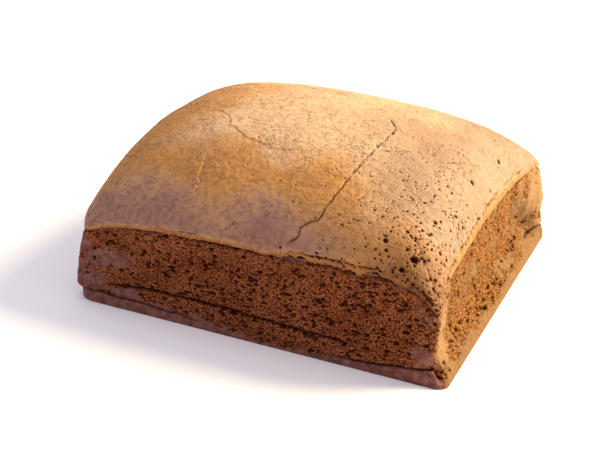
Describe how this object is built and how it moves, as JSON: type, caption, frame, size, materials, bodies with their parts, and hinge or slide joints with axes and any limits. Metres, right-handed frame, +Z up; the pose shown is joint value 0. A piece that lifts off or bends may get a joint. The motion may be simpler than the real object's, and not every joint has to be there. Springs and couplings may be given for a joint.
{
  "type": "castella sponge cake",
  "caption": "Whole square sponge cake with a domed browned crust, torn crumb sides and a smooth flat foot.",
  "frame": {"origin": "middle of the flat foot, on the surface that the cake rests on", "axes": "+Z up through the dome; +X to the wall with the flared foot and the ear at its far corner; -Y to the wall with the long crease"},
  "size_m": [0.2018, 0.2012, 0.0919],
  "materials": {
    "sponge": "browned matt crust over open brown crumb"
  },
  "bodies": {
    "root": {"castella_sponge": "sponge"}
  },
  "joints": []
}
